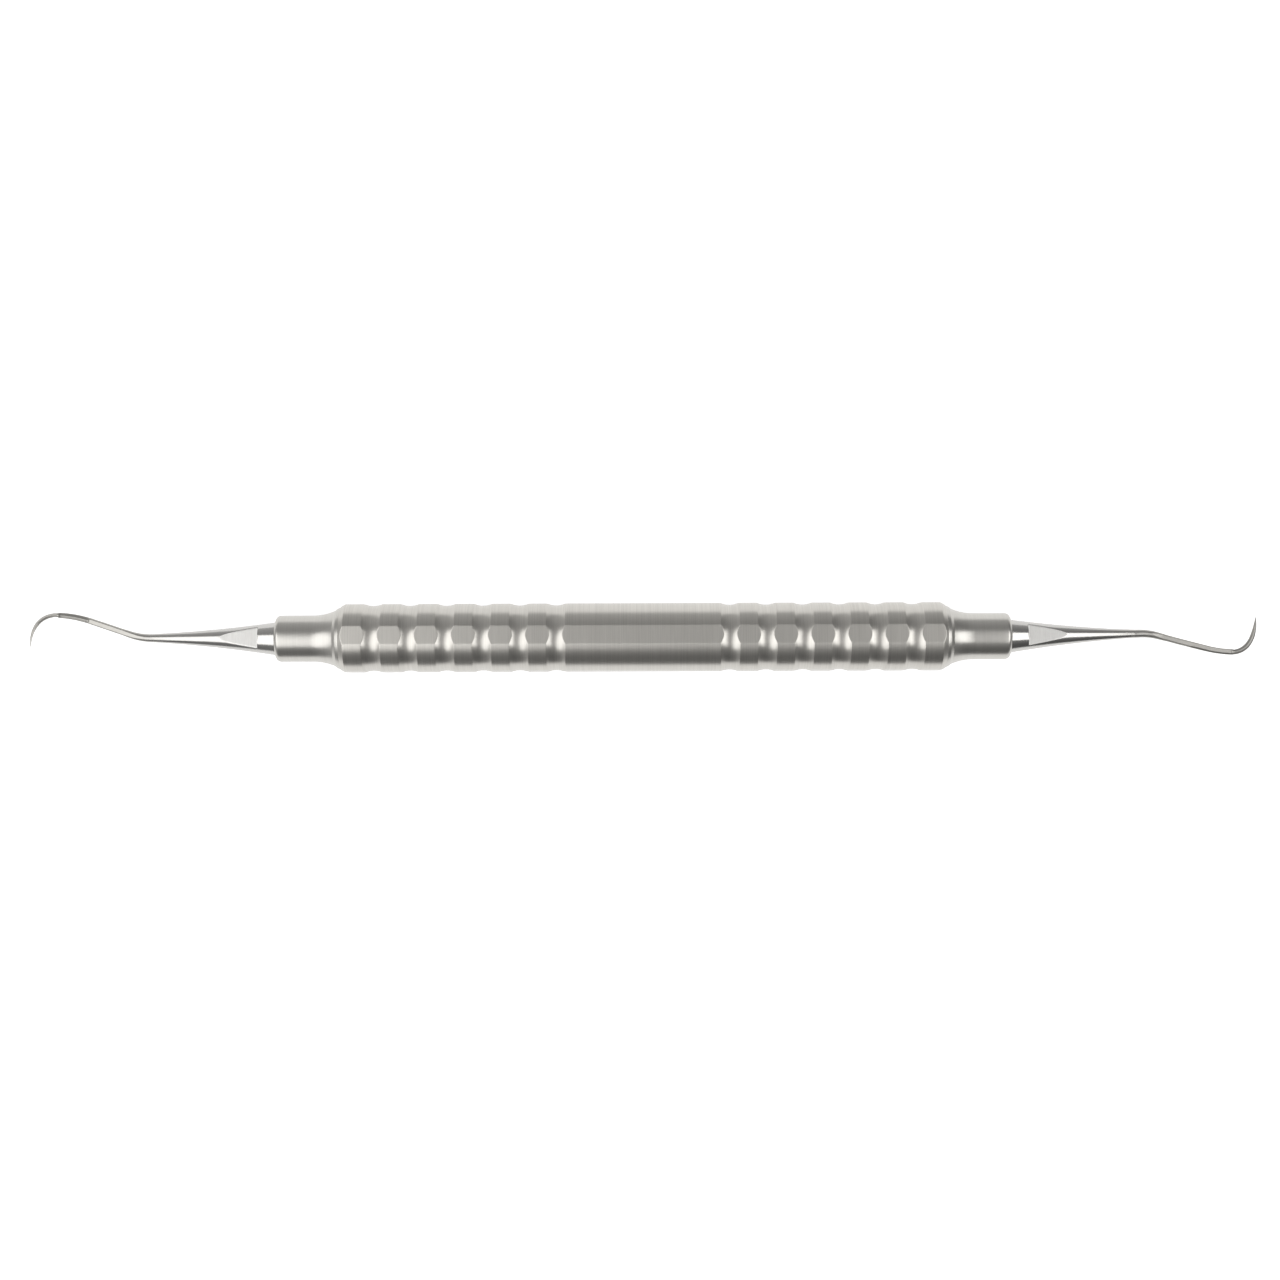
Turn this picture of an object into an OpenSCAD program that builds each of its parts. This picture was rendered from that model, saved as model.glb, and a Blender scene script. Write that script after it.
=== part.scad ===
// Double-ended hand scaler: a hollow turned steel grip, a turned nose closing
// each end of it, and a hooked working tip pressed into each nose.
// +X runs along the instrument, Z is up and Z = 0 is the grip's lower flat.

/* [Grip] */
// Diameter of the round grip
grip_d = 10; // [9.6:0.1:11]
// Half the length of the grip tube
grip_half_length = 43.3; // [43.2:0.1:50]
// Diameter of the bore that makes the grip hollow
bore_d = 8; // [7:0.1:8.4]
// Width of each of the four flats along the grip
flat_width = 2.64; // [1:0.02:3]
// Length of the chamfer at each end of the grip
end_chamfer = 0.7; // [0.3:0.05:1]
// Radius lost over that chamfer
end_chamfer_drop = 0.4; // [0.2:0.05:0.6]

/* [Grooves] */
// Number of finger grooves on each half of the grip
grooves_per_side = 6; // [1:1:6]
// Distance from the middle to the first groove's centre
groove_first = 12.4; // [6:0.1:12.5]
// Distance between the centres of neighbouring grooves
groove_pitch = 5.25; // [3.5:0.05:5.3]
// Depth of each groove in the round surface
groove_depth = 0.33; // [0.1:0.01:0.4]
// Radius of the form tool that turned the grooves
groove_tool_r = 2.9; // [2:0.1:4]

/* [Noses] */
// Diameter of the straight neck behind the tip
neck_d = 6.66; // [6.4:0.02:7]
// Length from the end of the grip tube to the nose's end face
nose_length = 9.35; // [8:0.05:12]
// Length of the sloping shoulder that meets the grip tube
shoulder_length = 0.5; // [0.2:0.05:1.2]
// Radius lost over the shoulder
shoulder_drop = 0.21; // [0.1:0.01:0.5]
// Length of the steep band after the shoulder
band_length = 0.42; // [0.3:0.02:1]
// Radius lost over the steep band
band_drop = 0.32; // [0.2:0.01:0.7]
// Length of the hollow-ground flare between the steep band and the neck
flare_length = 3.18; // [2:0.02:4]
// Radius of the rounded edge at the nose's end
nose_edge_r = 0.7; // [0.3:0.05:0.8]
// Length of the spigot inside the grip tube
spigot_length = 8; // [4:0.5:12]

/* [Tips] */
// Diameter of the tang inside the nose
tang_d = 3; // [2:0.1:3.4]
// Length of the tang inside the nose
tang_length = 10; // [6:0.5:12]
// Diameter of the cone where it leaves the nose
cone_d = 4.8; // [4.4:0.02:4.8]
// Length of the cone from the nose's end face to the start of the wire
cone_length = 17.95; // [15:0.05:18]
// Distance across the two milled flats on the cone
flats_across = 2.76; // [2.4:0.02:3]
// Distance from the nose's end face to the shoulder of those flats
flats_start = 2.5; // [2:0.1:3]
// Diameter of the wire where the shank begins to bend
wire_d = 1.18; // [1.1:0.02:1.3]
// How far the left tip leans out of line with the grip, in degrees
left_lean = 0.5; // [0:0.1:1.5]
// How far the right tip leans out of line with the grip, in degrees
right_lean = 0.9; // [0:0.1:1.5]

/* [Hidden] */
$fn = 96;
grip_r = grip_d / 2;
// The flats lie this far from the axis, which is also the axis's height
flat_distance = sqrt(pow(grip_r, 2) - pow(flat_width / 2, 2));
shoulder_r = grip_r - end_chamfer_drop - 0.07;
neck_r = neck_d / 2;
nose_face_x = grip_half_length + nose_length;
// Radial gap between each pressed-in piece and its bore
fit_gap = 0.01;
// The collar at the root of the cone sits in a counterbore this deep
collar_seat = 0.8;
cone_r = cone_d / 2;
wire_r = wire_d / 2;
wire_x = nose_face_x + cone_length;
// Slope of the cone's outline where it runs into the wire
cone_end_slope = 0.052;
satin_steel = "#b4b1ab";
polished_steel = "#c9c9c6";

// Bends of each tip from the end of its cone outwards, as
// [length along the wire, turn in degrees], and the length of its blade.
LEFT_BENDS = [
    [3.2, 18.3], [5.8, 0], [2.6, -8], [2.4, -8],
    [1.6, -23], [1.9, -35], [2.3, -29], [1.2, -9]
];
LEFT_BLADE = 6.9;
RIGHT_BENDS = [
    [0.9, 0], [2.5, -16.6], [7.3, 1.6], [3.4, 11.5], [1.1, 20],
    [1.7, 33], [1.5, 20], [2.8, 17]
];
RIGHT_BLADE = 6.7;

// Half sizes of the wire and of each blade at a distance past the start of the
// blade: depths in the plane of the bends, widths across it.
WIRE_DEPTH = [[-14, 0.585], [-12, 0.53], [-9.5, 0.455], [-5, 0.445], [-2, 0.41]];
LEFT_DEPTH = [[-0.3, 0.38], [0.1, 0.31], [2, 0.33], [3.5, 0.3], [5.3, 0.18], [6.6, 0.06]];
RIGHT_DEPTH = [[-0.3, 0.41], [0.1, 0.4], [2, 0.41], [4, 0.36], [5.3, 0.25], [6.4, 0.07]];
HALF_WIDTH = [
    [-14, 0.585], [-12, 0.53], [-9.5, 0.49], [-5, 0.47], [0, 0.44],
    [3.5, 0.33], [5.3, 0.2], [6.6, 0.06]
];
// How far the blade's inner side is ground flat: 1 is a round section
FACE = [[-0.3, 1], [0.1, 0.75]];
// How much narrower the blade's back is than its inner side
BACK_TAPER = [[-0.3, 0], [0.1, 0.3]];
steps_per_bend = 5;
section_sides = 16;

// Stations along a bent wire, each as [position, heading, distance].
function wire_path(bends) = [
    for (
        i = 0, p = [0, 0], h = 0, s = 0;
        i <= len(bends) * steps_per_bend;
        p = p + step_length(bends, i) * direction(h + step_turn(bends, i) / 2),
        s = s + step_length(bends, i),
        h = h + step_turn(bends, i),
        i = i + 1
    ) [p, h, s]
];
function bend_of(bends, i) = bends[min(floor(i / steps_per_bend), len(bends) - 1)];
function step_length(bends, i) = bend_of(bends, i)[0] / steps_per_bend;
function step_turn(bends, i) = bend_of(bends, i)[1] / steps_per_bend;
function direction(angle) = [cos(angle), sin(angle)];

// One ring of the wire's surface. Inner is 1 when the hook curls to its left
// and -1 when it curls to its right, so the flat face is inside the hook.
function wire_ring(station, past_start, inner, depths) = [
    for (k = [0 : section_sides - 1])
        let (
            angle = 360 * k / section_sides,
            toward = inner * cos(angle),
            depth = lookup(past_start, depths) * min(toward, lookup(past_start, FACE)),
            narrowing = 1 + lookup(past_start, BACK_TAPER) * (toward - 1) / 2,
            across = lookup(past_start, HALF_WIDTH) * narrowing * sin(angle),
            middle = station[0] + inner * depth * direction(station[1] + 90)
        )
        [middle[0], middle[1], across]
];

// The bent wire and blade, from a little inside the cone to the sharp point.
module bent_wire(bends, blade_length, blade_depths) {
    path = wire_path(bends);
    last = len(path) - 1;
    blade_start = path[last][2] - blade_length;
    inner = sign(bends[len(bends) - 1][1]);
    depths = concat(WIRE_DEPTH, blade_depths);
    root = [[-0.6, 0], 0, 0];
    stations = concat([root], [for (i = [0 : last - 1]) path[i]]);
    rings = [for (st = stations) wire_ring(st, st[2] - blade_start, inner, depths)];
    point = [path[last][0][0], path[last][0][1], 0];
    n = section_sides;
    end_ring = (len(rings) - 1) * n;
    sides = [
        for (r = [0 : len(rings) - 2], k = [0 : n - 1])
            for (upper = [false, true])
                upper
                    ? [r * n + (k + 1) % n, (r + 1) * n + k, (r + 1) * n + (k + 1) % n]
                    : [r * n + k, (r + 1) * n + k, r * n + (k + 1) % n]
    ];
    root_cap = [[for (k = [0 : n - 1]) k]];
    point_fan = [for (k = [0 : n - 1]) [end_ring + k, end_ring + n, end_ring + (k + 1) % n]];
    polyhedron(
        concat([for (ring = rings, p = ring) p], [point]),
        concat(sides, root_cap, point_fan)
    );
}

// Points of a circular arc about a centre.
function arc(centre, r, from, to, steps) = [
    for (i = [0 : steps]) centre + r * direction(from + (to - from) * i / steps)
];

// Turns a half outline, given as [distance along X, radius], about the X axis.
module turned(outline) {
    rotate([0, 90, 0]) rotate_extrude() polygon([for (p = outline) [p[1], p[0]]]);
}

// A rod along +X from one end to the other.
module rod(from, to, r) {
    translate([from, 0, 0]) rotate([0, 90, 0]) cylinder(h = to - from, r = r);
}

// A finger groove: the ring swept by the round form tool.
module groove_cut(x) {
    tool_r = groove_tool_r;
    translate([x, 0, 0]) rotate([0, 90, 0]) rotate_extrude()
        translate([grip_r + tool_r - groove_depth, 0]) circle(r = tool_r);
}

// Turns a tip, or its hole, about Z at the middle of the nose's end face.
module leaning(lean) {
    translate([nose_face_x, 0, 0]) rotate([0, 0, lean]) translate([-nose_face_x, 0, 0]) children();
}

module at_axis() {
    translate([0, 0, flat_distance]) children();
}

// The grip: a round tube with four flats, finger grooves and chamfered ends.
module grip_tube() {
    end_r = grip_r - end_chamfer_drop;
    round_end = grip_half_length - end_chamfer;
    color(satin_steel) at_axis() difference() {
        intersection() {
            turned([
                [-grip_half_length, 0], [-grip_half_length, end_r], [-round_end, grip_r],
                [round_end, grip_r], [grip_half_length, end_r], [grip_half_length, 0]
            ]);
            cube([2 * grip_half_length + 2, 2 * flat_distance, 2 * flat_distance], center = true);
        }
        for (side = [-1, 1], k = [0 : grooves_per_side - 1])
            groove_cut(side * (groove_first + k * groove_pitch));
        rod(-grip_half_length - 1, grip_half_length + 1, bore_d / 2);
    }
}

// A nose for the +X end: spigot, shoulder, steep band, flare and neck. Its
// hole leans with the tip.
module nose(lean) {
    spigot_r = bore_d / 2 - fit_gap;
    band_x = grip_half_length + shoulder_length;
    flare_x = band_x + band_length;
    flare_top_r = shoulder_r - shoulder_drop - band_drop;
    flare_drop = flare_top_r - neck_r;
    // The flare's arc meets the neck square to its radius
    flare_r = (pow(flare_length, 2) + pow(flare_drop, 2)) / (2 * flare_drop);
    flare_sweep = asin(flare_length / flare_r);
    flare_centre = [flare_x + flare_length, neck_r + flare_r];
    edge_centre = [nose_face_x - nose_edge_r, neck_r - nose_edge_r];
    tang_bottom = nose_face_x - collar_seat - tang_length - 0.3;
    color(satin_steel) at_axis() difference() {
        turned(concat(
            [
                [grip_half_length - spigot_length, 0],
                [grip_half_length - spigot_length, spigot_r],
                [grip_half_length, spigot_r],
                [grip_half_length, shoulder_r],
                [band_x, shoulder_r - shoulder_drop]
            ],
            arc(flare_centre, flare_r, 270 - flare_sweep, 270, 10),
            arc(edge_centre, nose_edge_r, 90, 0, 6),
            [[nose_face_x, 0]]
        ));
        leaning(lean) rod(tang_bottom, nose_face_x + 1, tang_d / 2 + fit_gap);
        leaning(lean) rod(nose_face_x - collar_seat, nose_face_x + 1, cone_r + 2 * fit_gap);
    }
}
module nose_right() {
    nose(right_lean);
}
module nose_left() {
    mirror([1, 0, 0]) nose(left_lean);
}

// A tip for the +X end: tang, collar, cone with two milled flats, then the
// bent wire that ends in the blade.
module tip(bends, blade_length, blade_depths, lean) {
    collar_x = nose_face_x - collar_seat;
    run = cone_length;
    // The cone's outline is a slack arc: it steepens steadily from wire to root
    curve = (cone_r - wire_r - cone_end_slope * run) / pow(run, 2);
    cone_steps = 12;
    color(polished_steel) at_axis() leaning(lean) union() {
        difference() {
            turned(concat(
                [
                    [collar_x - tang_length, 0],
                    [collar_x - tang_length, tang_d / 2],
                    [collar_x, tang_d / 2],
                    [collar_x, cone_r]
                ],
                [for (i = [0 : cone_steps])
                    let (d = run * (1 - i / cone_steps))
                    [wire_x - d, wire_r + cone_end_slope * d + curve * pow(d, 2)]
                ],
                [[wire_x, 0]]
            ));
            for (side = [-1, 1])
                translate([nose_face_x + flats_start + run / 2, 0, side * (flats_across / 2 + 1)])
                    cube([run, 2 * cone_d, 2], center = true);
        }
        translate([wire_x, 0, 0]) bent_wire(bends, blade_length, blade_depths);
    }
}
module tip_right() {
    tip(RIGHT_BENDS, RIGHT_BLADE, RIGHT_DEPTH, right_lean);
}
module tip_left() {
    mirror([1, 0, 0]) tip(LEFT_BENDS, LEFT_BLADE, LEFT_DEPTH, left_lean);
}

grip_tube();
nose_left();
nose_right();
tip_left();
tip_right();
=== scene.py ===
"""Looks of a double-ended hand scaler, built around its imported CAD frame.

The five CAD nodes are replaced by finer meshes of the same sizes, with softened edges and
turned, polished and milled steel. Lengths in this file are in millimetres until they are
written to a mesh, in the CAD frame: +X along the grip, Z up, Z = 0 on the lower flat.
"""
import math

import bpy
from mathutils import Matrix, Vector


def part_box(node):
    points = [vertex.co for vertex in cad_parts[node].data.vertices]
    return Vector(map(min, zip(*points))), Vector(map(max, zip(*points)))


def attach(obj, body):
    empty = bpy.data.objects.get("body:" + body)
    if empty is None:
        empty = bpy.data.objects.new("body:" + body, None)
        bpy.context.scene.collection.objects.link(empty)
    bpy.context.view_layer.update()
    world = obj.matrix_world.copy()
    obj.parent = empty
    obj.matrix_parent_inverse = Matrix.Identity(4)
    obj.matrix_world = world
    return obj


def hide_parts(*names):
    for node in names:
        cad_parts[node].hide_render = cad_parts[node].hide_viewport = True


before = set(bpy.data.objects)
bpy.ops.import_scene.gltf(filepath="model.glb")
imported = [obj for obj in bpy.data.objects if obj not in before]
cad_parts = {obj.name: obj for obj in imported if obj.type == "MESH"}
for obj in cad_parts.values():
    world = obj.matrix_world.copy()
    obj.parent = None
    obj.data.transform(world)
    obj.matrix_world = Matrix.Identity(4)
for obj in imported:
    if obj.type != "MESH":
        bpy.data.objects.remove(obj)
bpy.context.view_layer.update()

MM = 0.001

# ---------------------------------------------------------------- sizes from the frame
grip_low, grip_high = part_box("grip_tube")
nose_low, nose_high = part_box("nose_right")
GRIP_END = grip_high[0] / MM              # half the grip tube's length
AXIS_Z = (grip_low[2] + grip_high[2]) / 2 / MM
FLAT = (grip_high[2] - grip_low[2]) / 2 / MM   # distance of a flat from the axis
NOSE_FACE = nose_high[0] / MM             # end face of a nose
SPIGOT_END = nose_low[0] / MM

# ---------------------------------------------------------------- sizes of the design
GRIP_R = 5.0
BORE_R = 4.0
END_CHAMFER, END_CHAMFER_DROP = 0.7, 0.4
GROOVES, GROOVE_FIRST, GROOVE_PITCH = 6, 12.4, 5.25
GROOVE_DEPTH, GROOVE_TOOL_R = 0.33, 2.9
SPIGOT_R = 3.99
SHOULDER_R, SHOULDER_LENGTH, SHOULDER_DROP = 4.53, 0.5, 0.21
BAND_LENGTH, BAND_DROP = 0.42, 0.32
NECK_R, FLARE_LENGTH, NOSE_EDGE_R = 3.33, 3.18, 0.7
TANG_R, TANG_LENGTH, COLLAR_SEAT = 1.5, 10.0, 0.8
CONE_R, CONE_LENGTH, CONE_END_SLOPE = 2.4, 17.95, 0.052
FLATS_HALF, FLATS_START, BEVEL = 1.38, 2.5, 0.1
WIRE_R = 0.59
WIRE_X = NOSE_FACE + CONE_LENGTH
GAP = 0.01                                # clearance of each press fit
LEFT_BLADE, RIGHT_BLADE = 6.9, 6.7
LEFT_LEAN, RIGHT_LEAN = math.radians(0.5), math.radians(0.9)

# ---------------------------------------------------------------- mesh fineness
FILLET_STEPS = 4
NOSE_SIDES = 144
TIP_SIDES = 64
WIRE_STEP = 0.12
FLARE_STEPS, NOSE_EDGE_STEPS = 24, 12
BARE_CONE_RINGS, FLATS_RINGS = 8, 90      # rings before and along the milled flats

# Bends of each tip as [length along the wire, turn in degrees], as in the CAD design
LEFT_BENDS = [(3.2, 18.3), (5.8, 0), (2.6, -8), (2.4, -8), (1.6, -23), (1.9, -35), (2.3, -29), (1.2, -9)]
RIGHT_BENDS = [(0.9, 0), (2.5, -16.6), (7.3, 1.6), (3.4, 11.5), (1.1, 20), (1.7, 33), (1.5, 20), (2.8, 17)]


# ---------------------------------------------------------------- outlines and sections
def smooth_min(a, b, k):
    """The lower of two heights, with their crease rounded over a height of k."""
    overlap = max(k - abs(a - b), 0.0)
    return min(a, b) - overlap * overlap / (4 * k)


def lookup(x, table):
    """Straight-line interpolation in a table of (x, value) pairs."""
    for (x0, v0), (x1, v1) in zip(table, table[1:]):
        if x <= x1:
            share = min(max((x - x0) / (x1 - x0), 0.0), 1.0)
            return v0 + (v1 - v0) * share
    return table[-1][1]


def spaced(count):
    """Shares from 0 to 1, ends left out."""
    return [i / count for i in range(1, count)]


def rounded_outline(corners):
    """A polyline of (x, r, fillet radius) corners, with each fillet as a short arc."""
    points = []
    for i, (x, r, fillet) in enumerate(corners):
        if fillet == 0 or i in (0, len(corners) - 1):
            points.append((x, r))
            continue
        ax, ar = corners[i - 1][0] - x, corners[i - 1][1] - r
        bx, br = corners[i + 1][0] - x, corners[i + 1][1] - r
        la, lb = math.hypot(ax, ar), math.hypot(bx, br)
        turn = math.pi - math.acos(max(-1.0, min(1.0, (ax * bx + ar * br) / (la * lb))))
        reach = min(fillet * math.tan(turn / 2), 0.45 * la, 0.45 * lb)
        start = (x + ax / la * reach, r + ar / la * reach)
        end = (x + bx / lb * reach, r + br / lb * reach)
        for j in range(FILLET_STEPS + 1):
            t = j / FILLET_STEPS
            # A quadratic curve through the corner's tangents is close to a true arc here
            px = (1 - t) ** 2 * start[0] + 2 * t * (1 - t) * x + t * t * end[0]
            pr = (1 - t) ** 2 * start[1] + 2 * t * (1 - t) * r + t * t * end[1]
            points.append((px, pr))
    return points


def arc(centre_x, centre_r, radius, start_deg, end_deg, steps):
    """Points (x, r) along a circular arc, both ends included."""
    points = []
    for i in range(steps + 1):
        a = math.radians(start_deg + (end_deg - start_deg) * i / steps)
        points.append((centre_x + radius * math.cos(a), centre_r + radius * math.sin(a)))
    return points


# ---------------------------------------------------------------- meshes
def make_object(name, points, faces, materials, face_slots=None):
    """A smooth-shaded object from points in millimetres about the grip's axis."""
    mesh = bpy.data.meshes.new(name)
    mesh.from_pydata([(x * MM, y * MM, (z + AXIS_Z) * MM) for x, y, z in points], [], faces)
    mesh.polygons.foreach_set("use_smooth", [True] * len(mesh.polygons))
    if face_slots:
        mesh.polygons.foreach_set("material_index", face_slots)
    mesh.update()
    obj = bpy.data.objects.new(name, mesh)
    bpy.context.scene.collection.objects.link(obj)
    for material in materials:
        mesh.materials.append(material)
    return obj


def ring_faces(ring_count, sides, looped):
    """Quads between neighbouring rings, and from the last to the first if looped."""
    faces = []
    for r in range(ring_count if looped else ring_count - 1):
        s = (r + 1) % ring_count
        for k in range(sides):
            m = (k + 1) % sides
            faces.append((r * sides + k, s * sides + k, s * sides + m, r * sides + m))
    return faces


def mirrored(points, faces):
    """The same solid on the other side of the plane X = 0."""
    return [(-x, y, z) for x, y, z in points], [tuple(reversed(f)) for f in faces]


# Angles from a flat's middle to the corner between two flats, closer together near its edge
FLAT_EDGE = math.degrees(math.acos(FLAT / GRIP_R))
QUARTER_ANGLES = (
    [FLAT_EDGE * share for share in (0, 0.22, 0.44, 0.64, 0.8, 0.9, 0.96)]
    + [FLAT_EDGE, FLAT_EDGE + 0.6, FLAT_EDGE + 1.5, FLAT_EDGE + 3]
    + [FLAT_EDGE + 3 + (42 - FLAT_EDGE) * share for share in (0.14, 0.28, 0.42, 0.57, 0.71, 0.85)]
)
EDGE_STEPS = (0.015, 0.035, 0.07, 0.12)    # mesh lines beside each crease of the grip
EDGE_ROUNDING = 0.025
RIM_ROUNDING = 0.03                        # radius lost where the grip's ends are broken
RIM_STEP, RIM_STEP_DROP = 0.004, 0.008
BORE_CHAMFER = 0.06
FINE_ROUNDING, FACE_ROUNDING = 0.008, 0.05   # edges of the flats and facets, and of the face


def grip_angles():
    """Angles round the grip in degrees from +Z, each with its angle to the nearest flat."""
    half = QUARTER_ANGLES + [45.0]
    local = [-a for a in reversed(half[1:])] + half[:-1]
    return [(90 * quarter + a, a) for quarter in range(4) for a in local]


def groove_half_width(r):
    """Half a groove's width where it meets a surface at radius r."""
    depth_to_centre = GRIP_R + GROOVE_TOOL_R - GROOVE_DEPTH - r
    return math.sqrt(GROOVE_TOOL_R ** 2 - depth_to_centre ** 2)


def turned_radius(x):
    """Radius of the grip's turned surface at x, with softened groove and chamfer edges."""
    x = abs(x)
    r = GRIP_R
    into_chamfer = x - (GRIP_END - END_CHAMFER)
    r = smooth_min(r, GRIP_R - into_chamfer * END_CHAMFER_DROP / END_CHAMFER, EDGE_ROUNDING)
    for k in range(GROOVES):
        off = x - (GROOVE_FIRST + k * GROOVE_PITCH)
        if abs(off) < 0.95 * GROOVE_TOOL_R:
            floor = GRIP_R + GROOVE_TOOL_R - GROOVE_DEPTH - math.sqrt(GROOVE_TOOL_R ** 2 - off ** 2)
            r = smooth_min(r, floor, EDGE_ROUNDING)
    return r


def crease_places(surface_r):
    """Where the creases cross a line along the grip whose uncut radius is surface_r."""
    half_width = groove_half_width(surface_r)
    chamfer = GRIP_END - END_CHAMFER + (GRIP_R - surface_r) * END_CHAMFER / END_CHAMFER_DROP
    places = []
    for k in range(GROOVES):
        centre = GROOVE_FIRST + k * GROOVE_PITCH
        places += [centre - half_width, centre + half_width]
    places += [chamfer, GRIP_END]
    return [-x for x in reversed(places)] + places


def between_creases(start, end, inner_count):
    """Stations from one crease up to, and not with, the next."""
    crowding = min(1.0, 0.3 * (end - start) / EDGE_STEPS[-1])
    steps = [e * crowding for e in EDGE_STEPS]
    low, high = start + steps[-1], end - steps[-1]
    places = [start] + [start + e for e in steps]
    places += [low + (high - low) * share for share in spaced(inner_count)]
    return places + [end - e for e in reversed(steps)]


def stretch_count(start, end):
    """How many mesh stretches the span between two creases is cut into."""
    middle = (start + end) / 2
    if abs(middle) < 1:
        return 24
    groove = round((abs(middle) - GROOVE_FIRST) / GROOVE_PITCH)
    centre = GROOVE_FIRST + groove * GROOVE_PITCH
    is_groove = 0 <= groove < GROOVES and abs(abs(middle) - centre) < 0.1
    return 12 if is_groove else 4


def grip_stations(surface_r):
    """Every station along one line of the grip, the same number for each line."""
    creases = crease_places(surface_r)
    stations = []
    for start, end in zip(creases, creases[1:]):
        stations += between_creases(start, end, stretch_count(start, end))
    return stations + [creases[-1]]


def grip_solid():
    """The grip tube: turned, with four flats, and closed by its bore and end faces."""
    columns = []
    for angle, from_flat in grip_angles():
        flat_r = FLAT / math.cos(math.radians(from_flat))
        stations = grip_stations(min(GRIP_R, flat_r))
        outline = [(x, smooth_min(turned_radius(x), flat_r, EDGE_ROUNDING)) for x in stations]
        rim = outline[0][1]
        outline[0] = (-GRIP_END, rim - RIM_ROUNDING)
        outline.insert(1, (-GRIP_END + RIM_STEP, rim - RIM_STEP_DROP))
        outline[-1] = (GRIP_END - RIM_STEP, rim - RIM_STEP_DROP)
        outline.append((GRIP_END, rim - RIM_ROUNDING))
        outline += [(GRIP_END, BORE_R + BORE_CHAMFER), (GRIP_END - BORE_CHAMFER, BORE_R)]
        outline += [(-GRIP_END + BORE_CHAMFER, BORE_R), (-GRIP_END, BORE_R + BORE_CHAMFER)]
        a = math.radians(angle)
        columns.append([(x, r * math.sin(a), r * math.cos(a)) for x, r in outline])
    rings = list(zip(*columns))
    points = [p for ring in rings for p in ring]
    return points, ring_faces(len(rings), len(columns), looped=True)


def revolved(outline, sides):
    """A solid turned about X from an outline that starts and ends on the axis."""
    points = []
    for x, r in outline[1:-1]:
        for k in range(sides):
            a = 2 * math.pi * k / sides
            points.append((x, r * math.sin(a), r * math.cos(a)))
    rings = len(outline) - 2
    faces = ring_faces(rings, sides, looped=False)
    points += [(outline[0][0], 0, 0), (outline[-1][0], 0, 0)]
    first_pole, last_pole = len(points) - 2, len(points) - 1
    for k in range(sides):
        m = (k + 1) % sides
        faces.append((k, m, first_pole))
        faces.append(((rings - 1) * sides + m, (rings - 1) * sides + k, last_pole))
    return points, faces


def nose_solid(lean):
    """A nose for the +X end, with the counterbore and blind hole that hold the tip."""
    band_x = GRIP_END + SHOULDER_LENGTH
    flare_x = band_x + BAND_LENGTH
    flare_top_r = SHOULDER_R - SHOULDER_DROP - BAND_DROP
    drop = flare_top_r - NECK_R
    flare_r = (FLARE_LENGTH ** 2 + drop ** 2) / (2 * drop)
    sweep = math.degrees(math.asin(FLARE_LENGTH / flare_r))
    seat = NOSE_FACE - COLLAR_SEAT
    hole_r, seat_r = TANG_R + GAP, CONE_R + 2 * GAP
    bottom = seat - TANG_LENGTH - 0.3
    shoulders = rounded_outline([
        (SPIGOT_END, 0.5, 0), (SPIGOT_END, SPIGOT_R, 0.3), (GRIP_END, SPIGOT_R, 0.03),
        (GRIP_END, SHOULDER_R, 0.03), (band_x, SHOULDER_R - SHOULDER_DROP, 0.05),
        (flare_x, flare_top_r, 0.06), (flare_x + 0.3, flare_top_r - 0.13, 0),
    ])
    flare = arc(flare_x + FLARE_LENGTH, NECK_R + flare_r, flare_r, 270 - sweep, 270, FLARE_STEPS)
    edge_x, edge_r = NOSE_FACE - NOSE_EDGE_R, NECK_R - NOSE_EDGE_R
    edge = arc(edge_x, edge_r, NOSE_EDGE_R, 90, 6, NOSE_EDGE_STEPS)
    mouth = rounded_outline([
        (edge[-1][0], edge[-1][1], 0), (NOSE_FACE, seat_r + 0.14, 0.04),
        (NOSE_FACE - 0.1, seat_r, 0.03), (seat, seat_r, 0.02), (seat, hole_r, 0.05),
        (bottom, hole_r, 0.1), (bottom, 0.3, 0),
    ])
    neck = [(flare[-1][0] + (edge[0][0] - flare[-1][0]) * s, NECK_R) for s in spaced(6)]
    outline = [(SPIGOT_END, 0)] + shoulders[:-1]
    outline += [p for p in flare if p[0] > outline[-1][0] + 0.05]
    outline += neck + edge
    outside = (len(outline) - 1) * NOSE_SIDES
    points, faces = revolved(outline + mouth[1:] + [(bottom, 0)], NOSE_SIDES)
    # The last two points are the solid's poles, the first of them at the spigot's end
    pole = points[-2]
    points = points[:outside] + lean_over(points[outside:], lean)
    points[-2] = pole
    return points, faces


def wire_path(bends):
    """Stations (x, y, heading in radians, distance) along a bent wire from its cone."""
    x, y, heading, distance = WIRE_X, 0.0, 0.0, 0.0
    path = [(x, y, heading, distance)]
    for length, turn in bends:
        steps = math.ceil(length / WIRE_STEP)
        step, part = length / steps, math.radians(turn) / steps
        for _ in range(steps):
            x += step * math.cos(heading + part / 2)
            y += step * math.sin(heading + part / 2)
            heading += part
            distance += step
            path.append((x, y, heading, distance))
    return path


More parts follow.
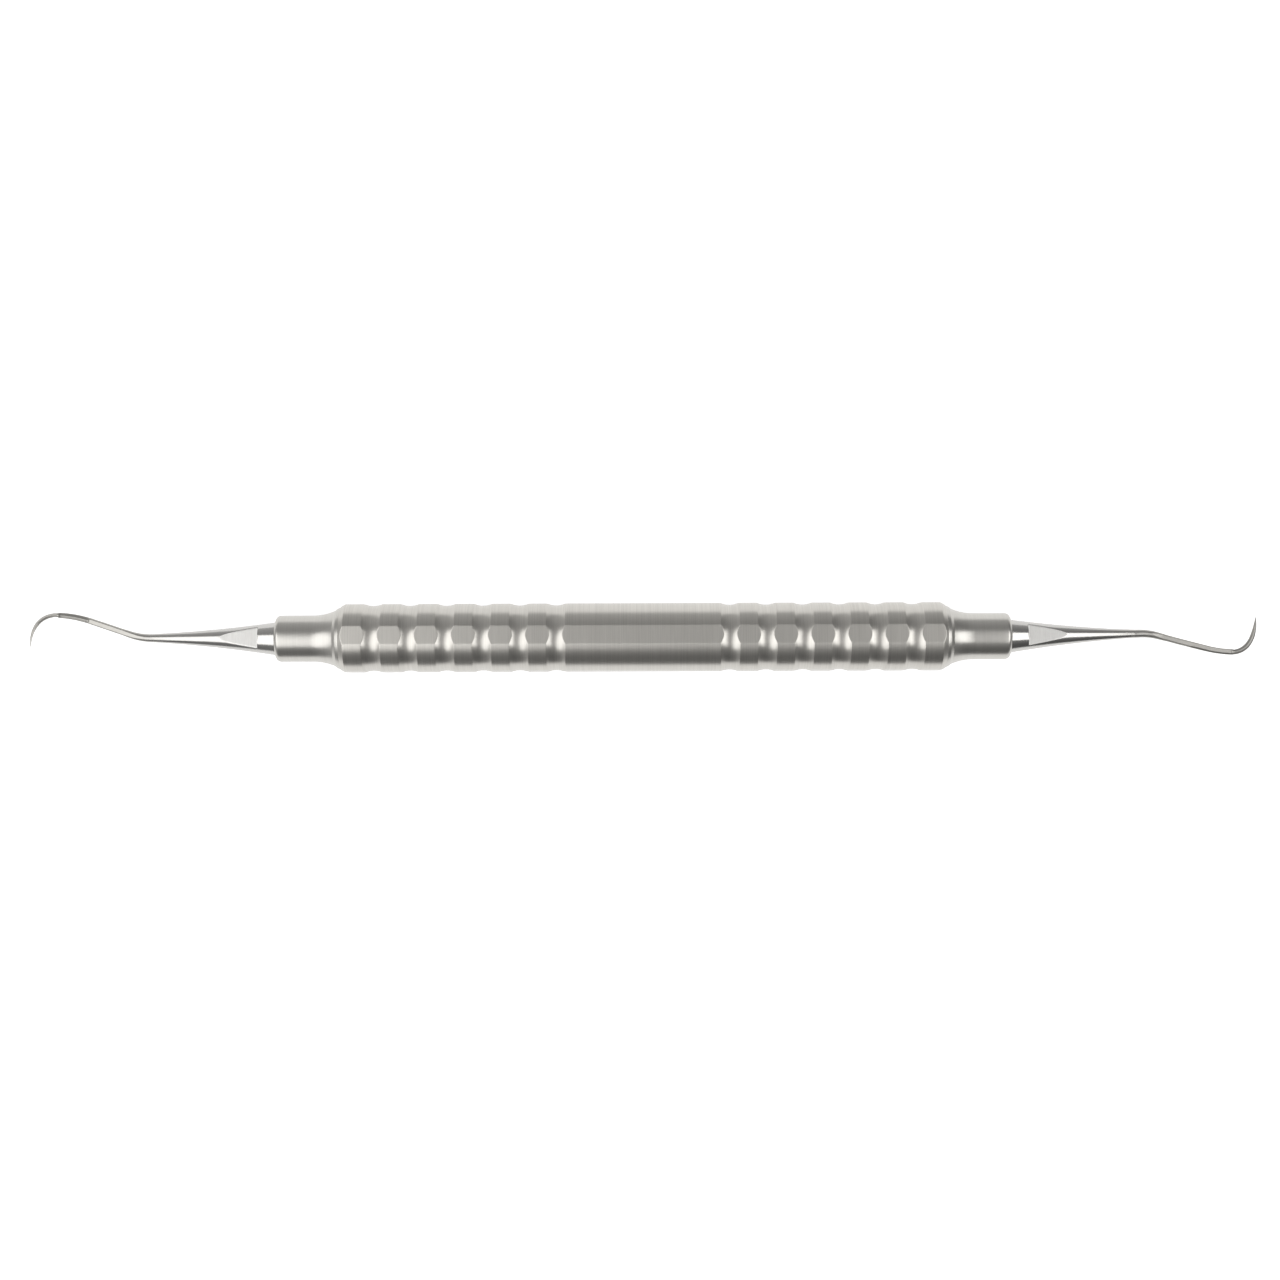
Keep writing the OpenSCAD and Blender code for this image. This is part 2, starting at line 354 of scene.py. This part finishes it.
# Half sizes of the wire and of each blade at a distance past the start of the blade:
# depths in the plane of the bends, widths across it
WIRE_DEPTH = [(-14, 0.59), (-12, 0.53), (-9.5, 0.455), (-5, 0.445), (-2, 0.41)]
LEFT_DEPTH = [
    (-0.15, 0.38), (0.1, 0.32), (2, 0.335), (3.5, 0.305), (5.3, 0.185), (6.6, 0.06), (6.9, 0.012),
]
RIGHT_DEPTH = [
    (-0.15, 0.41), (0.1, 0.405), (2, 0.415), (4, 0.365), (5.3, 0.255), (6.4, 0.07), (6.7, 0.012),
]
HALF_WIDTH = [
    (-14, 0.59), (-12, 0.53), (-9.5, 0.49), (-5, 0.47), (0, 0.44), (3.5, 0.33),
    (5.3, 0.2), (6.6, 0.06), (6.9, 0.015),
]
FACE = [(-0.15, 1), (0.1, 0.75)]           # how far the inner side is ground flat
BACK_TAPER = [(-0.15, 0), (0.1, 0.3)]      # how much narrower the back is

# Facets ground on both sides of each bent wire and blade. Each has its tilt from Z toward
# +Y in degrees, then pairs of a place past the start of the blade and the facet's distance
# from the wire's middle there. A facet further out than the wire cuts nothing.
UNCUT = 0.7
LEFT_FACETS = [
    (-10, [(-13.6, 0.6), (-11.5, 0.465), (-9.5, 0.39), (-4.7, 0.375), (-4.2, UNCUT)]),
    (17, [(-5.2, UNCUT), (-4.3, 0.37), (-0.4, 0.32), (0, UNCUT)]),
    (-30, [(-4.8, UNCUT), (-4.3, 0.38), (-0.4, 0.34), (0, UNCUT)]),
    (46, [(-0.2, UNCUT), (0.1, 0.27), (3.5, 0.24), (5.3, 0.14), (6.9, 0.02)]),
    (-30, [(-0.2, UNCUT), (0.1, 0.3), (3.5, 0.25), (5.3, 0.15), (6.9, 0.02)]),
]
RIGHT_FACETS = [
    (2, [(-13, 0.6), (-10.5, 0.42), (-6, 0.34), (-0.2, 0.29), (0, UNCUT)]),
    (-42, [(-8, UNCUT), (-6, 0.41), (-0.2, 0.35), (0, UNCUT)]),
    (24, [(-0.2, UNCUT), (0.1, 0.32), (3.5, 0.26), (5.3, 0.16), (6.7, 0.02)]),
    (-30, [(-0.2, UNCUT), (0.1, 0.33), (3.5, 0.28), (5.3, 0.18), (6.7, 0.02)]),
]


def flats_crease(x, r):
    """Angle from +Z of the mesh line that follows the edge of a milled flat."""
    shoulder = NOSE_FACE + FLATS_START
    even, narrowest = 45.0, 10.0
    edge = math.degrees(math.acos(min(FLATS_HALF / r, 1.0)))
    if x < shoulder:
        blend = min((shoulder - x) / 1.5, 1.0)
        return edge + (even - edge) * blend
    if r > FLATS_HALF and edge > narrowest:
        return edge
    wedge_end = cone_place(FLATS_HALF / math.cos(math.radians(narrowest)))
    blend = min(max(x - wedge_end, 0.0) / 5, 1.0)
    return narrowest + (even - narrowest) * blend


def round_angles(crease):
    """Angles from +Z round a ring, evenly shared on each side of the crease angle."""
    per_part = TIP_SIDES // 8
    quarter = [crease * i / per_part for i in range(per_part)]
    quarter += [crease + (90 - crease) * i / per_part for i in range(per_part)]
    return (
        quarter + [180 - a for a in [90.0] + quarter[:0:-1]]
        + [180 + a for a in quarter] + [360 - a for a in [90.0] + quarter[:0:-1]]
    )


# The cone's outline is a slack arc that steepens steadily from wire to root
CONE_CURVE = (CONE_R - WIRE_R - CONE_END_SLOPE * CONE_LENGTH) / CONE_LENGTH ** 2


def cone_radius(x):
    """Radius of the cone at x."""
    from_wire = WIRE_X - x
    return WIRE_R + CONE_END_SLOPE * from_wire + CONE_CURVE * from_wire ** 2


def cone_place(r):
    """Where the cone's radius is r."""
    root = math.sqrt(CONE_END_SLOPE ** 2 + 4 * CONE_CURVE * (r - WIRE_R))
    return WIRE_X - (root - CONE_END_SLOPE) / (2 * CONE_CURVE)


def cone_ring(x, r, flats=None):
    """A ring of the straight part of a tip, cut at a height on both sides if asked."""
    ring = []
    for angle in round_angles(flats_crease(x, r)):
        a = math.radians(angle)
        y, z = r * math.sin(a), r * math.cos(a)
        if flats:
            z = math.copysign(smooth_min(abs(z), flats, FINE_ROUNDING), z)
        ring.append((x, y, z))
    return ring


def ground_off(aside, across, past_start, facets):
    """A point of a wire's ring after its facets are cut, the same on both sides."""
    for tilt, distances in facets:
        a, limit = math.radians(tilt), lookup(past_start, distances)
        reach = aside * math.sin(a) + abs(across) * math.cos(a)
        if reach > 0.5 * limit:
            share = smooth_min(reach, limit, FINE_ROUNDING) / reach
            aside, across = aside * share, across * share
    return aside, across


def wire_ring(station, past_start, inner, depths, facets):
    """A ring of the bent wire or blade. Inner is 1 if the hook curls to its left, else -1."""
    x, y, heading, _ = station
    depth, width = lookup(past_start, depths), lookup(past_start, HALF_WIDTH)
    face, back = lookup(past_start, FACE), lookup(past_start, BACK_TAPER)
    ring = []
    for angle in round_angles(45.0):
        a = math.radians(angle)
        toward = inner * math.sin(a)
        aside = inner * depth * smooth_min(toward, face, FACE_ROUNDING)
        across = width * (1 + back * (toward - 1) / 2) * math.cos(a)
        aside, across = ground_off(aside, across, past_start, facets)
        ring.append((x - aside * math.sin(heading), y + aside * math.cos(heading), across))
    return ring


def lean_over(points, lean):
    """Points turned about Z at the middle of the nose's end face."""
    c, s = math.cos(lean), math.sin(lean)
    return [
        (NOSE_FACE + (x - NOSE_FACE) * c - y * s, (x - NOSE_FACE) * s + y * c, z)
        for x, y, z in points
    ]


def tip_solid(bends, blade_length, depths, facets, lean):
    """A tip for the +X end, and which of its faces are milled flat."""
    collar_x = NOSE_FACE - COLLAR_SEAT
    shoulder = NOSE_FACE + FLATS_START
    tang = rounded_outline([
        (collar_x - TANG_LENGTH, 0.5, 0), (collar_x - TANG_LENGTH, TANG_R, 0.3),
        (collar_x, TANG_R, 0.05), (collar_x, CONE_R, 0.1), (collar_x + 0.4, CONE_R, 0),
    ])
    rings = [cone_ring(x, r) for x, r in tang[:-1]]
    bare = NOSE_FACE - collar_x
    for share in spaced(4):
        rings.append(cone_ring(collar_x + bare * share, CONE_R))
    bevel_x = shoulder - BEVEL
    for i in range(BARE_CONE_RINGS + 1):
        x = NOSE_FACE + (bevel_x - 0.04 - NOSE_FACE) * i / BARE_CONE_RINGS
        rings.append(cone_ring(x, cone_radius(x)))
    rings.append(cone_ring(bevel_x, cone_radius(bevel_x), cone_radius(bevel_x)))
    for share in (0.3, 0.7, 1):
        x = bevel_x + share * (BEVEL - 0.01)
        rings.append(cone_ring(x, cone_radius(x), cone_radius(bevel_x) - BEVEL * share))
    milled_from = len(rings)
    rings.append(cone_ring(shoulder, cone_radius(shoulder), FLATS_HALF))
    for i in range(1, FLATS_RINGS):
        x = shoulder + 0.04 + (WIRE_X - shoulder - 0.04) * i / FLATS_RINGS
        rings.append(cone_ring(x, cone_radius(x), FLATS_HALF))
    milled_to = len(rings)
    path = wire_path(bends)
    blade_start = path[-1][3] - blade_length
    inner = math.copysign(1, bends[-1][1])
    rings += [wire_ring(st, st[3] - blade_start, inner, WIRE_DEPTH + depths, facets) for st in path]
    points = [p for ring in rings for p in ring]
    sides = len(rings[0])
    faces = ring_faces(len(rings), sides, looped=False)
    slots = []
    for r in range(len(rings) - 1):
        for k in range(sides):
            z = points[r * sides + k][2], points[(r + 1) * sides + (k + 1) % sides][2]
            is_flat = milled_from <= r < milled_to and min(abs(z[0]), abs(z[1])) > FLATS_HALF - 0.006
            slots.append(1 if is_flat else 0)
    points += [(tang[0][0], 0, 0), (path[-1][0], path[-1][1], 0)]
    root, point = len(points) - 2, len(points) - 1
    last = (len(rings) - 1) * sides
    for k in range(sides):
        m = (k + 1) % sides
        faces.append((k, m, root))
        faces.append((last + m, last + k, point))
        slots += [0, 0]
    return lean_over(points, lean), faces, slots


# ---------------------------------------------------------------- materials
def node(tree, kind, **settings):
    """A new shader node with its properties and input values set."""
    made = tree.nodes.new(kind)
    for key, value in settings.items():
        if hasattr(made, key):
            setattr(made, key, value)
        else:
            made.inputs[key.replace("_", " ")].default_value = value
    return made


def streaks(tree, scale, detail):
    """Noise drawn out into fine lines: scale is cells per metre along X, Y and Z."""
    place = node(tree, "ShaderNodeTexCoord")
    mapping = node(tree, "ShaderNodeMapping", Scale=scale)
    noise = node(tree, "ShaderNodeTexNoise", Scale=1.0, Detail=detail, Roughness=0.6)
    tree.links.new(place.outputs["Object"], mapping.inputs["Vector"])
    tree.links.new(mapping.outputs["Vector"], noise.inputs["Vector"])
    return noise.outputs["Fac"]


def scaled_sum(tree, terms, constant):
    """The sum of a constant and of each (output, factor) term multiplied out."""
    total = constant
    for output, factor in terms:
        step = node(tree, "ShaderNodeMath", operation="MULTIPLY_ADD")
        tree.links.new(output, step.inputs[0])
        step.inputs[1].default_value = factor
        if isinstance(total, float):
            step.inputs[2].default_value = total
        else:
            tree.links.new(total, step.inputs[2])
        total = step.outputs["Value"]
    return total


def stepped(tree, value, start, end, low, high):
    """A smooth step from low to high as a value goes from start to end."""
    step = node(tree, "ShaderNodeMapRange", interpolation_type="SMOOTHSTEP")
    for key, number in zip(("From Min", "From Max", "To Min", "To Max"), (start, end, low, high)):
        if isinstance(number, (int, float)):
            step.inputs[key].default_value = number
        else:
            tree.links.new(number, step.inputs[key])
    tree.links.new(value, step.inputs["Value"])
    return step.outputs["Result"]


def ranged(tree, value, low, high):
    """A noise value, which is mostly from 0.3 to 0.7, spread between two limits."""
    spread = node(tree, "ShaderNodeMapRange")
    spread.inputs["From Min"].default_value = 0.3
    spread.inputs["From Max"].default_value = 0.7
    spread.inputs["To Min"].default_value = low
    spread.inputs["To Max"].default_value = high
    tree.links.new(value, spread.inputs["Value"])
    return spread.outputs["Result"]


def steel(name, dark, light, rough, line_scale, line_height, anisotropy=0.0, turned=False):
    """Stainless steel with fine tool lines in its colour, roughness and relief."""
    material = bpy.data.materials.new(name)
    material.use_nodes = True
    tree = material.node_tree
    shader = tree.nodes["Principled BSDF"]
    shader.inputs["Metallic"].default_value = 1.0
    shader.inputs["Anisotropic"].default_value = anisotropy
    lines = streaks(tree, line_scale, 4.0)
    blotches = streaks(tree, [c * 0.12 for c in line_scale], 2.0)
    colour = node(tree, "ShaderNodeMix", data_type="RGBA")
    colour.inputs["A"].default_value = (*dark, 1)
    colour.inputs["B"].default_value = (*light, 1)
    tree.links.new(ranged(tree, lines, 0.0, 1.0), colour.inputs["Factor"])
    tree.links.new(colour.outputs["Result"], shader.inputs["Base Color"])
    tree.links.new(ranged(tree, blotches, *rough), shader.inputs["Roughness"])
    bump = node(tree, "ShaderNodeBump", Strength=1.0)
    bump.inputs["Distance"].default_value = line_height
    tree.links.new(lines, bump.inputs["Height"])
    tree.links.new(bump.outputs["Normal"], shader.inputs["Normal"])
    if turned:
        tangent = node(tree, "ShaderNodeTangent", direction_type="RADIAL", axis="X")
        tree.links.new(tangent.outputs["Tangent"], shader.inputs["Tangent"])
        shader.inputs["Anisotropic Rotation"].default_value = 0.25
    return material


def ground_ends(material):
    """Dulls a tip's steel toward its hook, where it is ground and not polished."""
    tree = material.node_tree
    shader = tree.nodes["Principled BSDF"]
    place = node(tree, "ShaderNodeTexCoord")
    parts = node(tree, "ShaderNodeSeparateXYZ")
    tree.links.new(place.outputs["Object"], parts.inputs["Vector"])
    outward = node(tree, "ShaderNodeMath", operation="ABSOLUTE")
    tree.links.new(parts.outputs["X"], outward.inputs[0])
    share = stepped(tree, outward.outputs["Value"], GROUND_FROM, GROUND_TO, 0.0, 1.0)
    dulled = node(tree, "ShaderNodeMix", data_type="RGBA", blend_type="MULTIPLY")
    dulled.inputs["B"].default_value = (*GROUND_TINT, 1)
    tree.links.new(share, dulled.inputs["Factor"])
    tree.links.new(shader.inputs["Base Color"].links[0].from_socket, dulled.inputs["A"])
    tree.links.new(dulled.outputs["Result"], shader.inputs["Base Color"])
    polish = shader.inputs["Roughness"].links[0].from_socket
    rough = scaled_sum(tree, [(polish, 1.0), (share, GROUND_ROUGHER)], 0.0)
    tree.links.new(rough, shader.inputs["Roughness"])


TURNED_LINES = (7000, 90, 90)       # short cells along X, long ones round it
POLISH_LINES = (250, 9000, 9000)    # long cells along the wire
GRIND_LINES = (9000, 900, 900)
GROUND_FROM, GROUND_TO = 0.0665, 0.0745    # distance from the middle, in metres
GROUND_TINT, GROUND_ROUGHER = (0.81, 0.8, 0.775), 0.17

satin_grip = steel("satin_grip", (0.575, 0.557, 0.52), (0.675, 0.654, 0.612), (0.305, 0.335),
                   TURNED_LINES, 4e-7, 0.4, True)
satin_nose = steel("satin_nose", (0.6, 0.585, 0.55), (0.65, 0.635, 0.6), (0.3, 0.33),
                   TURNED_LINES, 3e-7, 0.4, True)
polished = steel("polished_tip", (0.57, 0.56, 0.54), (0.63, 0.62, 0.6), (0.17, 0.22),
                 POLISH_LINES, 3e-7)
ground_ends(polished)
milled = steel("milled_flat", (0.8, 0.79, 0.765), (0.88, 0.87, 0.845), (0.42, 0.5),
               GRIND_LINES, 1e-6)


# ---------------------------------------------------------------- pieces
def place(name, solid, node_name, materials, slot_name):
    """Makes a piece that stands for one CAD node."""
    points, faces, *slots = solid
    piece = make_object(name, points, faces, materials, slots[0] if slots else None)
    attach(piece, "root")
    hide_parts(node_name)
    return piece


place("scaler_grip_tube", grip_solid(), "grip_tube", [satin_grip], "satin_steel_grip")
right_nose = nose_solid(RIGHT_LEAN)
place("scaler_nose_right", right_nose, "nose_right", [satin_nose], "satin_steel_nose")
left_nose = mirrored(*nose_solid(LEFT_LEAN))
place("scaler_nose_left", left_nose, "nose_left", [satin_nose], "satin_steel_nose")
tip_finish = [polished, milled]
right_tip = tip_solid(RIGHT_BENDS, RIGHT_BLADE, RIGHT_DEPTH, RIGHT_FACETS, RIGHT_LEAN)
place("scaler_tip_right", right_tip, "tip_right", tip_finish, "polished_steel_tip")
points, faces, slots = tip_solid(LEFT_BENDS, LEFT_BLADE, LEFT_DEPTH, LEFT_FACETS, LEFT_LEAN)
left_tip = (*mirrored(points, faces), slots)
place("scaler_tip_left", left_tip, "tip_left", tip_finish, "polished_steel_tip")


# ---------------------------------------------------------------- floor, light and camera
def floor():
    """A large white floor that the instrument lies on."""
    half = 20.0
    mesh = bpy.data.meshes.new("floor")
    corners = [(-half, -half, 0), (half, -half, 0), (half, half, 0), (-half, half, 0)]
    mesh.from_pydata(corners, [], [(0, 1, 2, 3)])
    obj = bpy.data.objects.new("floor", mesh)
    bpy.context.scene.collection.objects.link(obj)
    material = bpy.data.materials.new("floor_white")
    material.use_nodes = True
    shader = material.node_tree.nodes["Principled BSDF"]
    shader.inputs["Base Color"].default_value = (0.8, 0.8, 0.8, 1)
    shader.inputs["Roughness"].default_value = 0.9
    shader.inputs["Specular IOR Level"].default_value = 0.0
    shader.inputs["Emission Color"].default_value = (1, 1, 1, 1)
    shader.inputs["Emission Strength"].default_value = 0.7
    mesh.materials.append(material)
    # The room's own light stands for the table in reflections, so they stay even
    obj.visible_glossy = False


def softbox(name, shape, low, high, height, radiance):
    """A softbox above the table, from its low to its high corner in metres."""
    size_x, size_y = high[0] - low[0], high[1] - low[1]
    light = bpy.data.lights.new(name, "AREA")
    light.shape = shape
    light.size, light.size_y = size_x, size_y
    area = size_x * size_y * (math.pi / 4 if shape == "ELLIPSE" else 1)
    light.energy = radiance * math.pi * area
    obj = bpy.data.objects.new(name, light)
    obj.location = ((low[0] + high[0]) / 2, (low[1] + high[1]) / 2, height)
    obj.visible_camera = False
    bpy.context.scene.collection.objects.link(obj)


def studio():
    """The room as reflections see it: a white table below, and grey walls around."""
    world = bpy.data.worlds.new("studio")
    bpy.context.scene.world = world
    world.use_nodes = True
    tree = world.node_tree
    background = tree.nodes["Background"]
    direction = node(tree, "ShaderNodeTexCoord")
    parts = node(tree, "ShaderNodeSeparateXYZ")
    tree.links.new(direction.outputs["Generated"], parts.inputs["Vector"])
    x, y, z = (parts.outputs[axis] for axis in "XYZ")
    # The walls are grey, darker toward -Y and +X, and lightest low down on the +Y side
    front = stepped(tree, y, -0.55, -1.0, 0.0, 1.0)
    back = stepped(tree, y, 0.6, 1.0, 0.0, 1.0)
    wall = scaled_sum(tree, [(front, -0.14), (back, 0.16), (x, -0.13)], 0.285)
    # The white table fills the view from a little below the horizon, lower on the -Y side
    above_table = scaled_sum(tree, [(z, 1.0), (y, -0.183), (x, 0.03)], 0.11)
    room = stepped(tree, above_table, -0.07, 0.07, 1.05, wall)
    path = node(tree, "ShaderNodeLightPath")
    seen = node(tree, "ShaderNodeMix", data_type="FLOAT")
    seen.inputs["B"].default_value = 1.0
    tree.links.new(path.outputs["Is Camera Ray"], seen.inputs["Factor"])
    tree.links.new(room, seen.inputs["A"])
    tree.links.new(seen.outputs["Result"], background.inputs["Color"])


def camera():
    """A camera that looks almost straight down, from the -Y side."""
    distance, elevation, roll = 0.3005, math.radians(84.5), math.radians(-0.21)
    target = (-0.43 * MM, -0.37 * MM, AXIS_Z * MM)
    data = bpy.data.cameras.new("camera")
    data.sensor_width = 36
    data.lens = 58.8
    data.clip_start = 0.01
    obj = bpy.data.objects.new("camera", data)
    obj.location = (
        target[0],
        target[1] - distance * math.cos(elevation),
        target[2] + distance * math.sin(elevation),
    )
    # At no rotation a camera looks straight down with +Y up in its image
    obj.rotation_mode = "XYZ"
    obj.rotation_euler = (math.pi / 2 - elevation, 0, 0)
    obj.rotation_euler.rotate_axis("Z", roll)
    bpy.context.scene.collection.objects.link(obj)
    bpy.context.scene.camera = obj


floor()
softbox("softbox_left", "ELLIPSE", (-0.98, -0.76), (-0.085, 0.28), 0.6, 1.5)
softbox("softbox_right", "RECTANGLE", (0.262, -0.44), (0.98, 0.2), 0.6, 1.85)
studio()
camera()
bpy.context.scene.view_settings.view_transform = "Standard"
bpy.context.scene.view_settings.look = "None"
